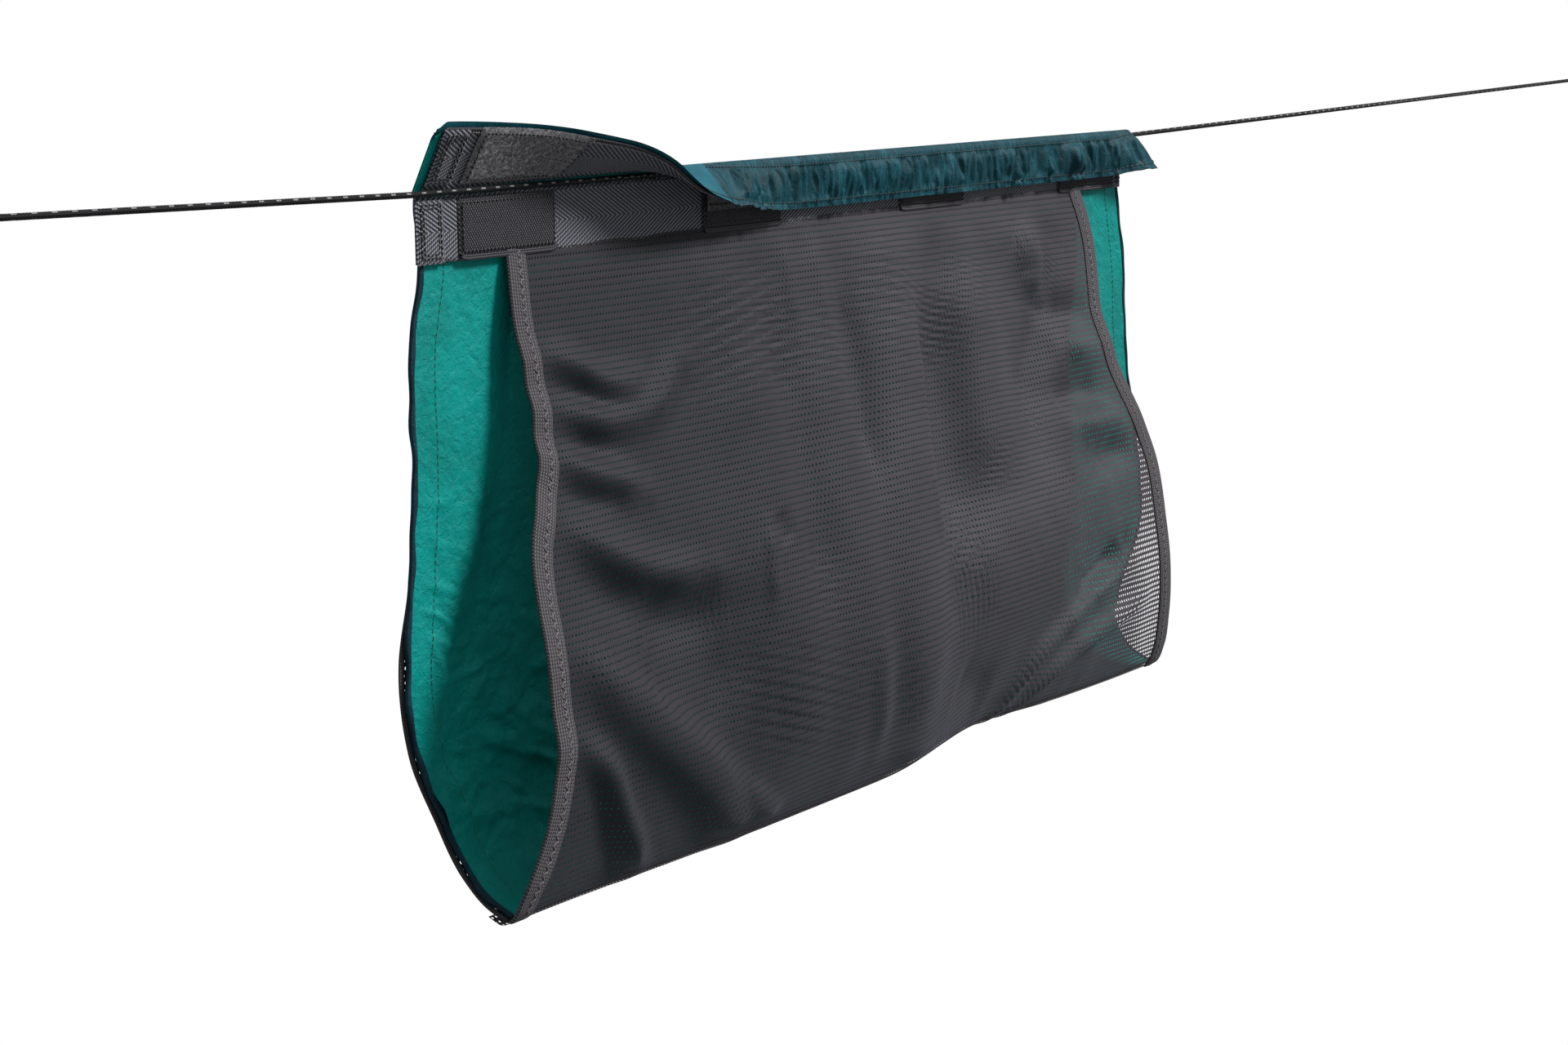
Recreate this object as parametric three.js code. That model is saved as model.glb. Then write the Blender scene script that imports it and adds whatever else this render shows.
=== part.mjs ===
// Ridgeline gear sling: a hanging storage sleeve on a taut cord.
// Frame: millimetres, +X along the cord, -Y the mesh front, +Z up, origin on the cord's axis
// halfway along the sling.
import * as THREE from "three";

// ---- Driving dimensions ----
const SLING_HALF = 295;
const SLING_DROP = 284;
const SHEET = 0.4;
const MESH_SHEET = 0.8;
const TAPE_SHEET = 0.8;
const BINDING_WIDTH = 12;
const BINDING_THICKNESS = 1.6;
const HEM_WIDTH = 2.6;
const HEM_THICKNESS = 2.0;
const SEAM_GAP = 0.4;

const CORD_RADIUS = 1.25;
const CORD_SIDES = 8;
const CORD_STEPS = 60;
const CORD_LEFT_END = -528;
const CORD_RIGHT_END = 1046;
const CORD_RISE = Math.tan(THREE.MathUtils.degToRad(1.05));
const KNOT_LENGTH = 11;
const KNOT_RADIUS = 3.6;
const KNOT_SIDES = 12;
const KNOT_TAPER = [0.6, 0.45];
const LOOP_LENGTH = 34;
const LOOP_HALF_WIDTH = 7;
const LOOP_STEPS = 28;

const FOLD_BORE = 2.5;
const FOLD_WALL = 0.4;
const FOLD_SIDES = 16;
const FLAP_NEAR = 3.4;
const OPEN_REACH = 30.5;
const CLOSED_REACH = 20.5;
const STRIP_BOTTOM = -27;
const STACK = { flapCloth: -3.1, flapTape: -2.0, loop: -0.8, hook: 0.8, tape: 2.0 };
const PAD_THICKNESS = 1.0;
const PAD_LENGTH = 62;
const PAD_TOP = -4;
const PAD_BOTTOM = -25.5;
const PAD_MARGIN = 1.5;
const PAD_CENTRES = [-239, -72, 94, 255];
const LEFT_TAB_LENGTH = 16;
const RIGHT_TAB_LENGTH = 8;
const OPEN_ANGLE = THREE.MathUtils.degToRad(-150);
const TWIST_START = -205;
const TWIST_END = -106;
const FLAP_OVERRUN = 6;

// ---- Materials ----
const cloth = (color, roughness) => new THREE.MeshStandardMaterial({ color, roughness, metalness: 0 });
const TEAL = 0x2f7680;
const NAVY_TEAL = 0x14444c;
const GREEN = 0x12957f;
const CHARCOAL = 0x4a484e;
const BINDING_GREY = 0x585454;
const SLATE = 0x31343f;
const FUZZ = 0x26272c;
const CORD_BLACK = 0x1b1b1e;

const sling = new THREE.Group();

function addPiece(name, geometry, color, roughness) {
  const piece = new THREE.Mesh(geometry, cloth(color, roughness));
  piece.name = name;
  sling.add(piece);
  return piece;
}

// ---- Shape helpers ----

// A smooth value of the depth fraction, from pairs of fraction and value.
function graded(pairs) {
  const stops = pairs.map(([fraction]) => fraction);
  const values = pairs.map(([, value]) => value);
  const spline = new THREE.CubicInterpolant(stops, values, 1);
  return (fraction) => spline.evaluate(THREE.MathUtils.clamp(fraction, 0, 1))[0];
}

// A side profile through (y, z) points, read by arc length.
function sideProfile(points) {
  return new THREE.CatmullRomCurve3(points.map(([y, z]) => new THREE.Vector3(0, y, z)));
}

// A closed thin sheet: surface(across, down) gives its middle, and out gives the way to its front.
function sheet(columns, rows, thickness, surface) {
  const geometry = new THREE.BoxGeometry(1, 1, 1, columns, rows, 1);
  const corner = geometry.attributes.position;
  for (let i = 0; i < corner.count; i += 1) {
    const { at, out } = surface(corner.getX(i) + 0.5, 0.5 - corner.getY(i));
    at.addScaledVector(out, corner.getZ(i) * thickness);
    corner.setXYZ(i, at.x, at.y, at.z);
  }
  geometry.computeVertexNormals();
  return geometry;
}

// A sheet that follows a side profile, between two X edges given as functions of depth.
function drape({ profile, offset = 0, thickness, left, right, columns, rows }) {
  return sheet(columns, rows, thickness, (across, down) => {
    const at = profile.getPointAt(down);
    const along = profile.getTangentAt(down);
    const out = new THREE.Vector3(0, along.z, -along.y);
    at.addScaledVector(out, offset);
    const depth = -at.z / SLING_DROP;
    at.x = THREE.MathUtils.lerp(left(depth), right(depth), across);
    return { at, out };
  });
}

// A flat plate in the closed flap's stack.
function plate(fromX, toX, middleY, thickness, top, bottom) {
  const geometry = new THREE.BoxGeometry(toX - fromX, thickness, top - bottom);
  geometry.translate((fromX + toX) / 2, middleY, (top + bottom) / 2);
  return geometry;
}

const opened = (geometry) => geometry.rotateX(OPEN_ANGLE);

// ---- Ridgeline cord, with a knotted loop at each end ----
function cordPoint(x) {
  const beyond = Math.max(0, Math.abs(x) - SLING_HALF - FLAP_OVERRUN);
  return new THREE.Vector3(x, 0, beyond * CORD_RISE);
}

function tube(curve, steps) {
  const section = new THREE.Shape(
    new THREE.EllipseCurve(0, 0, CORD_RADIUS, CORD_RADIUS).getPoints(CORD_SIDES).slice(0, CORD_SIDES),
  );
  return new THREE.ExtrudeGeometry(section, { steps, bevelEnabled: false, extrudePath: curve });
}

const cordStations = [CORD_LEFT_END, -420, -310, -290, 0, 290, 310, 420, 700, CORD_RIGHT_END];
const cordRoute = new THREE.CatmullRomCurve3(cordStations.map(cordPoint), false, "centripetal");
addPiece("ridgeline_cord", tube(cordRoute, CORD_STEPS), CORD_BLACK, 0.7);

function addEnd(side, cordEnd, way) {
  const tilt = new THREE.Quaternion().setFromUnitVectors(
    new THREE.Vector3(0, 1, 0),
    new THREE.Vector3(way, 0, CORD_RISE).normalize(),
  );
  const half = KNOT_LENGTH / 2;
  const [endShare, shoulderShare] = KNOT_TAPER;
  const endRadius = KNOT_RADIUS * endShare;
  const shoulder = half * shoulderShare;
  const knotOutline = [
    [0, -half], [endRadius, -half], [KNOT_RADIUS, -shoulder],
    [KNOT_RADIUS, shoulder], [endRadius, half], [0, half],
  ].map(([radius, height]) => new THREE.Vector2(radius, height));
  const knot = addPiece(`knot_${side}`, new THREE.LatheGeometry(knotOutline, KNOT_SIDES), CORD_BLACK, 0.7);
  knot.quaternion.copy(tilt);
  knot.position.copy(cordPoint(cordEnd + way * (half + SEAM_GAP)));

  const root = CORD_RADIUS + SEAM_GAP;
  const lower = LOOP_LENGTH * 0.35;
  const upper = LOOP_LENGTH * 0.7;
  const loopRoute = new THREE.CatmullRomCurve3([
    [root, 0], [LOOP_HALF_WIDTH, lower], [LOOP_HALF_WIDTH, upper],
    [0, LOOP_LENGTH],
    [-LOOP_HALF_WIDTH, upper], [-LOOP_HALF_WIDTH, lower], [-root, 0],
  ].map(([width, height]) => new THREE.Vector3(width, height, 0)));
  const loop = addPiece(`loop_${side}`, tube(loopRoute, LOOP_STEPS), CORD_BLACK, 0.7);
  loop.quaternion.copy(tilt);
  loop.position.copy(cordPoint(cordEnd + way * (KNOT_LENGTH + 3 * SEAM_GAP)));
}
addEnd("left", CORD_LEFT_END, -1);
addEnd("right", CORD_RIGHT_END, 1);

// ---- Fold of the flap around the cord ----
const foldLength = SLING_HALF - TWIST_END;
const foldOutline = [
  [FOLD_BORE, 0], [FOLD_BORE + FOLD_WALL, 0],
  [FOLD_BORE + FOLD_WALL, foldLength], [FOLD_BORE, foldLength], [FOLD_BORE, 0],
].map(([radius, height]) => new THREE.Vector2(radius, height));
const fold = addPiece("ridge_fold", new THREE.LatheGeometry(foldOutline, FOLD_SIDES), NAVY_TEAL, 0.5);
fold.rotation.z = -Math.PI / 2;
fold.position.x = TWIST_END;

// ---- Back panel: outer cloth, lining, side hems ----
const panelHalf = graded([[0, 293], [0.35, 303], [0.67, 312], [0.86, 291], [1, 283]]);
const panelProfile = sideProfile([
  [3.6, -3.4], [3.6, -30], [1.6, -90], [0, -180], [-1.5, -242], [-8, -267], [-16, -278], [-25, -283],
]);
const COLUMNS = 12;
const ROWS = 20;
const clothHalf = (depth) => panelHalf(depth) - HEM_WIDTH - SEAM_GAP;
const panelEdges = { left: (depth) => -clothHalf(depth), right: clothHalf, columns: COLUMNS, rows: ROWS };
const LINING_OFFSET = SHEET / 2;
const OUTER_OFFSET = -(SHEET / 2 + SEAM_GAP);
addPiece(
  "lining_panel",
  drape({ profile: panelProfile, offset: LINING_OFFSET, thickness: SHEET, ...panelEdges }),
  GREEN, 0.38,
);
addPiece(
  "outer_panel",
  drape({ profile: panelProfile, offset: OUTER_OFFSET, thickness: SHEET, ...panelEdges }),
  TEAL, 0.5,
);
for (const [side, way] of [["left", -1], ["right", 1]]) {
  const inner = (depth) => way * (panelHalf(depth) - HEM_WIDTH);
  const outer = (depth) => way * panelHalf(depth);
  const edges = way < 0 ? { left: outer, right: inner } : { left: inner, right: outer };
  addPiece(
    `side_hem_${side}`,
    drape({ profile: panelProfile, thickness: HEM_THICKNESS, ...edges, columns: 1, rows: ROWS }),
    NAVY_TEAL, 0.5,
  );
}

// ---- Webbing strip under the cord, its end tabs and hook pads ----
addPiece(
  "lower_band",
  plate(-SLING_HALF, SLING_HALF, STACK.tape, TAPE_SHEET, -FLAP_NEAR, STRIP_BOTTOM),
  SLATE, 0.85,
);
const tabSpans = {
  left: [-SLING_HALF, LEFT_TAB_LENGTH - SLING_HALF],
  right: [SLING_HALF - RIGHT_TAB_LENGTH, SLING_HALF],
};
for (const [side, [from, to]] of Object.entries(tabSpans)) {
  addPiece(
    `band_end_tab_${side}`,
    plate(from, to, STACK.hook, PAD_THICKNESS, PAD_TOP, STRIP_BOTTOM),
    SLATE, 0.85,
  );
}
const padSpan = (centre) => [centre - PAD_LENGTH / 2, centre + PAD_LENGTH / 2];
PAD_CENTRES.forEach((centre, i) => {
  const [from, to] = padSpan(centre);
  addPiece(`hook_patch_${i + 1}`, plate(from, to, STACK.hook, PAD_THICKNESS, PAD_TOP, PAD_BOTTOM), FUZZ, 0.95);
});

// ---- Mesh front with its edge bindings ----
const meshHalf = graded([[0, 242], [0.36, 248], [0.58, 268], [0.8, 272], [1, 284]]);
const meshProfile = sideProfile([
  [0.8, STRIP_BOTTOM - 1], [-6, -60], [-19, -112], [-33, -160], [-41, -197], [-44, -225],
  [-41, -255], [-35, -274], [-28, -284.5],
]);
const meshBound = (depth) => meshHalf(depth) - BINDING_WIDTH - SEAM_GAP;
addPiece(
  "front_mesh",
  drape({
    profile: meshProfile, thickness: MESH_SHEET,
    left: (depth) => -meshBound(depth), right: meshBound, columns: COLUMNS, rows: ROWS,
  }),
  CHARCOAL, 0.7,
);

for (const [side, way] of [["left", -1], ["right", 1]]) {
  const inner = (depth) => way * (meshHalf(depth) - BINDING_WIDTH);
  const outer = (depth) => way * meshHalf(depth);
  const edges = way < 0 ? { left: outer, right: inner } : { left: inner, right: outer };
  addPiece(
    `front_binding_${side}`,
    drape({ profile: meshProfile, thickness: BINDING_THICKNESS, ...edges, columns: 1, rows: ROWS }),
    BINDING_GREY, 0.85,
  );
}

// ---- Rear mesh pocket: closed at its sides and bottom, open along its top hem ----
const REAR_TOP = 0.5;
const REAR_SEAM = 0.527;
const REAR_STANDOFF = 1.9;
const rearBulge = graded([[0, 7.5], [0.3, 10], [0.65, 8], [0.88, 2.5], [1, 0]]);
function behindPanel(columns, rows, thickness, from, to) {
  return sheet(columns, rows, thickness, (across, down) => {
    const reach = THREE.MathUtils.lerp(from, to, down);
    const at = panelProfile.getPointAt(reach);
    const along = panelProfile.getTangentAt(reach);
    const out = new THREE.Vector3(0, along.z, -along.y);
    const side = 2 * across - 1;
    const crown = 1 - Math.abs(side) ** 5;
    const bulge = rearBulge((reach - REAR_TOP) / (1 - REAR_TOP)) * crown;
    at.addScaledVector(out, -(REAR_STANDOFF + bulge));
    at.x = side * clothHalf(-at.z / SLING_DROP);
    return { at, out };
  });
}
const REAR_GAP = 0.002;
const REAR_COLUMNS = 18;
const pocketSheet = behindPanel(REAR_COLUMNS, 14, MESH_SHEET, REAR_SEAM + REAR_GAP, 1);
const pocketHem = behindPanel(REAR_COLUMNS, 2, BINDING_THICKNESS, REAR_TOP, REAR_SEAM);
addPiece("rear_mesh_pocket", pocketSheet, CHARCOAL, 0.7);
addPiece("rear_pocket_hem", pocketHem, BINDING_GREY, 0.85);

// ---- Fold-over flap: open at the left, closed at the right, twisting between ----
function flapSpan(from, to, reach) {
  return {
    clothPiece: plate(from, to, STACK.flapCloth, TAPE_SHEET, -FLAP_NEAR, -reach),
    tapePiece: plate(from, to, STACK.flapTape, TAPE_SHEET, -FLAP_NEAR, PAD_MARGIN - reach),
  };
}
function loopPad(centre, reach) {
  return plate(...padSpan(centre), STACK.loop, PAD_THICKNESS, PAD_TOP, 2 * PAD_MARGIN - reach);
}

const leftFlap = flapSpan(-SLING_HALF, TWIST_START - SEAM_GAP, OPEN_REACH);
addPiece("flap_left_cloth", opened(leftFlap.clothPiece), TEAL, 0.5);
addPiece("flap_left_band", opened(leftFlap.tapePiece), SLATE, 0.85);
addPiece("loop_patch_1", opened(loopPad(PAD_CENTRES[0], OPEN_REACH)), FUZZ, 1);

const rightFlap = flapSpan(TWIST_END + SEAM_GAP, SLING_HALF + FLAP_OVERRUN, CLOSED_REACH);
addPiece("flap_right_cloth", rightFlap.clothPiece, TEAL, 0.5);
addPiece("flap_right_band", rightFlap.tapePiece, SLATE, 0.85);
PAD_CENTRES.slice(1).forEach((centre, i) => {
  addPiece(`loop_patch_${i + 2}`, loopPad(centre, CLOSED_REACH), FUZZ, 1);
});

const TWIST_COLUMNS = 20;
const TWIST_SHEET = 0.4;
function twisted(layerY, margin) {
  const axis = new THREE.Vector3(1, 0, 0);
  return sheet(TWIST_COLUMNS, 3, TWIST_SHEET, (across, down) => {
    const turn = OPEN_ANGLE * (1 - across);
    const edge = THREE.MathUtils.lerp(OPEN_REACH, CLOSED_REACH, across) - margin;
    const reach = THREE.MathUtils.lerp(FLAP_NEAR, edge, down);
    const at = new THREE.Vector3(0, layerY, -reach).applyAxisAngle(axis, turn);
    at.x = THREE.MathUtils.lerp(TWIST_START, TWIST_END, across);
    const out = new THREE.Vector3(0, -1, 0).applyAxisAngle(axis, turn);
    return { at, out };
  });
}
addPiece("flap_twist_cloth", twisted(STACK.flapCloth, 0), TEAL, 0.5);
addPiece("flap_twist_band", twisted(STACK.flapTape, PAD_MARGIN), SLATE, 0.85);

export default sling;
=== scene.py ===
"""Ridgeline gear sling: a mesh-fronted sleeve hanging from a taut cord.

Lengths are in millimetres until a mesh is made.
"""

import math

import bmesh
import bpy
import numpy as np
from mathutils import Matrix


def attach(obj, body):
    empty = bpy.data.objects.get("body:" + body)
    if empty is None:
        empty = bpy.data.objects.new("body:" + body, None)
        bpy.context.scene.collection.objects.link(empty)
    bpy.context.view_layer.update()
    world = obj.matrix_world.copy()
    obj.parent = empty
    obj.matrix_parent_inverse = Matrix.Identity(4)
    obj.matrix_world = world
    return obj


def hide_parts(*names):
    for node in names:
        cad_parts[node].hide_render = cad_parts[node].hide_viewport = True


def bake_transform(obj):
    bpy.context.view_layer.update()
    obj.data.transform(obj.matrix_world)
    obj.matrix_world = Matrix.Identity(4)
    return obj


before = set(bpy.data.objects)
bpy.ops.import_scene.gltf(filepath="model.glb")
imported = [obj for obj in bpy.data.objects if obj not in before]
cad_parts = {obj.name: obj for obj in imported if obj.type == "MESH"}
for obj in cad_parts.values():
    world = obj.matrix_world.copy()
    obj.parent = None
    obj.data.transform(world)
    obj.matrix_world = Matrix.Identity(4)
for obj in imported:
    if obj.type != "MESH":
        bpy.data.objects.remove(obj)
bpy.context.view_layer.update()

MM = 0.001
CORD_RADIUS = 1.25
FLOOR_HALF, FLOOR_HEIGHT = 400000.0, -1150
STRIP_TOP, STRIP_WIDTH = -1.6, 25.4
PATCH_HALF = 31
FOLD_RADIUS = 1.85
OPEN_START, OPEN_END, TURN_MIDDLE, TURN_END, FLAP_END = -295.0, -240.0, -155.5, -106.0, 301.0
SUN_WAY = (0.52, -0.62, 0.72)


# ---------------------------------------------------------------- lines and fields


def run_of(line):
    """The length along a line at each of its points."""
    return np.r_[0, np.cumsum(np.linalg.norm(np.diff(line, axis=0), axis=1))]


def unit(vectors):
    return vectors / np.linalg.norm(vectors, axis=1, keepdims=True)


def spline(points, count=600):
    """Evenly spaced samples of a smooth line through the points."""
    p = np.array(points, float)
    t = run_of(p)
    m = np.gradient(p, t, axis=0)
    s = np.linspace(0, t[-1], 6 * count)
    k = np.clip(np.searchsorted(t, s, side="right") - 1, 0, len(t) - 2)
    h = (t[k + 1] - t[k])[:, None]
    f = (s - t[k])[:, None] / h
    line = (2 * f**3 - 3 * f**2 + 1) * p[k] + (f**3 - 2 * f**2 + f) * h * m[k]
    line += (3 * f**2 - 2 * f**3) * p[k + 1] + (f**3 - f**2) * h * m[k + 1]
    run = run_of(line)
    even = np.linspace(0, run[-1], count)
    return np.stack([np.interp(even, run, line[:, i]) for i in range(p.shape[1])], 1)


def graded(pairs):
    """A smooth function through (position, value) pairs."""
    line = spline(pairs)
    return lambda x: np.interp(x, line[:, 0], line[:, 1])


def length_of(line):
    return float(np.linalg.norm(np.diff(line, axis=0), axis=1).sum())


def step(x, low, high):
    t = np.clip((x - low) / (high - low), 0, 1)
    return t * t * (3 - 2 * t)


def at(line, fraction):
    """Points of a sampled line at these fractions of its length."""
    s = np.linspace(0, 1, len(line))
    return np.stack([np.interp(fraction, s, line[:, i]) for i in range(line.shape[1])], -1)


def normals(p):
    n = np.cross(np.gradient(p, axis=0), np.gradient(p, axis=1))
    return n / np.maximum(np.linalg.norm(n, axis=-1, keepdims=True), 1e-9)


SHEET_SPAN = ((-315, 315), (-286, 0))


def creases(u, v, seed, count, length, width, height, angle=0.0, spread=math.pi, span=SHEET_SPAN):
    """A field of many short soft ridges and valleys, at random places in a span of u and v."""
    rng = np.random.default_rng(seed)
    field = np.zeros_like(u)
    for _ in range(count):
        cu, cv = rng.uniform(*span[0]), rng.uniform(*span[1])
        a = angle + rng.uniform(-spread, spread) / 2
        long, wide = length * rng.uniform(0.5, 1.5), width * rng.uniform(0.6, 1.5)
        along = (u - cu) * math.cos(a) + (v - cv) * math.sin(a)
        over = (v - cv) * math.cos(a) - (u - cu) * math.sin(a)
        over = over + rng.uniform(-0.3, 0.3) * along**2 / long
        ridge = np.exp(-((along / long) ** 2)) / (1 + (over / wide) ** 2)
        field += ridge * height * rng.choice((-1.0, 1.0)) * rng.uniform(0.4, 1)
    return field


def ridge(x, z, path, width, height):
    """One soft ridge along a smooth path, fading at its ends. A negative height makes a hollow."""
    line = spline(path, 40)
    best = np.full(x.shape, np.inf)
    where = np.zeros(x.shape)
    for i, (px, pz) in enumerate(line):
        d = (x - px) ** 2 + (z - pz) ** 2
        nearer = d < best
        best = np.where(nearer, d, best)
        where = np.where(nearer, i / (len(line) - 1), where)
    taper = 0.25 + 0.75 * step(where, 0, 0.3) * (1 - step(where, 0.7, 1))
    return height * taper * np.exp(-best / width**2)


# ---------------------------------------------------------------- meshes


def new_object(name, verts, faces, uvs, material, smooth=True):
    """A mesh object from points in millimetres, with flat coordinates in millimetres as its UVs."""
    mesh = bpy.data.meshes.new(name)
    faces = np.asarray(faces)
    sides = faces.shape[1]
    mesh.vertices.add(len(verts))
    mesh.vertices.foreach_set("co", (np.asarray(verts, float) * MM).ravel())
    mesh.loops.add(faces.size)
    mesh.loops.foreach_set("vertex_index", faces.ravel())
    mesh.polygons.add(len(faces))
    mesh.polygons.foreach_set("loop_start", np.arange(0, faces.size, sides))
    mesh.polygons.foreach_set("loop_total", np.full(len(faces), sides))
    layer = mesh.uv_layers.new(name="flat")
    layer.data.foreach_set("uv", (np.asarray(uvs, float)[faces.ravel()] * MM).ravel())
    mesh.update(calc_edges=True)
    mesh.validate()
    mesh.polygons.foreach_set("use_smooth", np.full(len(mesh.polygons), smooth))
    mesh.materials.append(material)
    obj = bpy.data.objects.new(name, mesh)
    bpy.context.scene.collection.objects.link(obj)
    return obj


def grid_faces(rows, cols, wrap=False):
    r, c = np.meshgrid(np.arange(rows - 1), np.arange(cols if wrap else cols - 1), indexing="ij")
    d = (c + 1) % cols
    return np.stack([r * cols + c, (r + 1) * cols + c, (r + 1) * cols + d, r * cols + d], -1).reshape(-1, 4)


def cloth(name, p, flat, material):
    """A sheet from a grid of points. flat is its flat coordinates, the same grid."""
    rows, cols = p.shape[:2]
    return new_object(name, p.reshape(-1, 3), grid_faces(rows, cols), flat.reshape(-1, 2), material)


def flat_of(p):
    """Flat coordinates of a grid, by arc length along its middle row and column."""
    rows, cols = p.shape[:2]
    row, col = p[rows // 2], p[:, cols // 2]
    u = run_of(row)
    v = run_of(col)
    u, v = np.meshgrid(u - u[-1] / 2, -v)
    return np.stack([u, v], -1)


def loft(name, line, side, front, half_width, half_depth, material, corners=12, power=0.6):
    """A closed band with an oval section along a line. side and front are its across and facing ways."""
    count = len(line)
    a = np.linspace(0, 2 * math.pi, corners, endpoint=False)
    cu = np.sign(np.cos(a)) * np.abs(np.cos(a)) ** power
    cv = np.sign(np.sin(a)) * np.abs(np.sin(a)) ** power
    w = np.broadcast_to(np.asarray(half_width, float), (count,))[:, None, None]
    d = np.broadcast_to(np.asarray(half_depth, float), (count,))[:, None, None]
    p = line[:, None] + w * cu[None, :, None] * side[:, None] + d * cv[None, :, None] * front[:, None]
    run = run_of(line)
    uv = np.stack(np.broadcast_arrays(cu[None] * w[..., 0], -run[:, None]), -1)
    ends = [p[0].mean(0), p[-1].mean(0)]
    verts = np.vstack([p.reshape(-1, 3), ends])
    uvs = np.vstack([uv.reshape(-1, 2), [[0, 0], [0, -run[-1]]]])
    faces = grid_faces(count, corners, wrap=True)[:, ::-1]
    k = np.arange(corners)
    first = np.stack([np.full(corners, count * corners), k, (k + 1) % corners, (k + 1) % corners], 1)
    row = (count - 1) * corners
    last = np.stack([np.full(corners, count * corners + 1), row + (k + 1) % corners, row + k, row + k], 1)
    obj = new_object(name, verts, faces, uvs, material)
    caps = [tuple(int(i) for i in f[:3]) for f in np.vstack([first, last])]
    add_triangles(obj, caps, uvs)
    return obj


def add_triangles(obj, caps, uvs):
    bm = bmesh.new()
    bm.from_mesh(obj.data)
    bm.verts.ensure_lookup_table()
    layer = bm.loops.layers.uv.active
    for cap in caps:
        face = bm.faces.new([bm.verts[i] for i in cap])
        face.smooth = True
        for loop, i in zip(face.loops, cap):
            loop[layer].uv = uvs[i] * MM
    bmesh.ops.recalc_face_normals(bm, faces=bm.faces)
    bm.to_mesh(obj.data)
    bm.free()


def stitches(name, starts, ends, radius, material, lift=0.0, out=None):
    """Short thread stitches from each start to each end, arched by lift along out."""
    starts, ends = np.asarray(starts, float), np.asarray(ends, float)
    way = ends - starts
    size = np.linalg.norm(way, axis=1, keepdims=True)
    way = way / np.maximum(size, 1e-9)
    out = np.broadcast_to(np.asarray(out if out is not None else (0, -1, 0), float), way.shape)
    side = np.cross(way, out)
    side /= np.maximum(np.linalg.norm(side, axis=1, keepdims=True), 1e-9)
    up = np.cross(side, way)
    stations = ((0.0, 0.25), (0.12, 0.85), (0.5, 1.0), (0.88, 0.85), (1.0, 0.25))
    a = np.linspace(0, 2 * math.pi, 6, endpoint=False)
    rings = []
    for f, r in stations:
        middle = starts + way * size * f + up * lift * math.sin(math.pi * f)
        ring = middle[:, None] + radius * r * (
            np.cos(a)[None, :, None] * side[:, None] + np.sin(a)[None, :, None] * up[:, None]
        )
        rings.append(ring)
    p = np.stack(rings, 1)
    count = len(starts)
    base = grid_faces(len(stations), 6, wrap=True)
    faces = (base[None] + np.arange(count)[:, None, None] * len(stations) * 6).reshape(-1, 4)
    verts = p.reshape(-1, 3)
    one = np.stack(np.meshgrid(np.arange(6) * 0.2, np.arange(len(stations)) * 0.5), -1).reshape(-1, 2)
    uvs = np.tile(one, (count, 1))
    return new_object(name, verts, faces, uvs, material)


def run_stitches(line, pitch, share=0.7):
    """Starts and ends of running stitches along a line."""
    total = length_of(line)
    count = int(total / pitch)
    f = np.arange(count) / count
    return at(line, f), at(line, f + share / count)


def zigzag(left, right, pitch):
    """Starts and ends of zigzag stitches between two lines."""
    count = int(length_of(left) / pitch)
    f = np.arange(count + 1) / count
    points = np.where((np.arange(count + 1) % 2 == 0)[:, None], at(left, f), at(right, f))
    return points[:-1], points[1:]


# ---------------------------------------------------------------- node helpers


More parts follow.
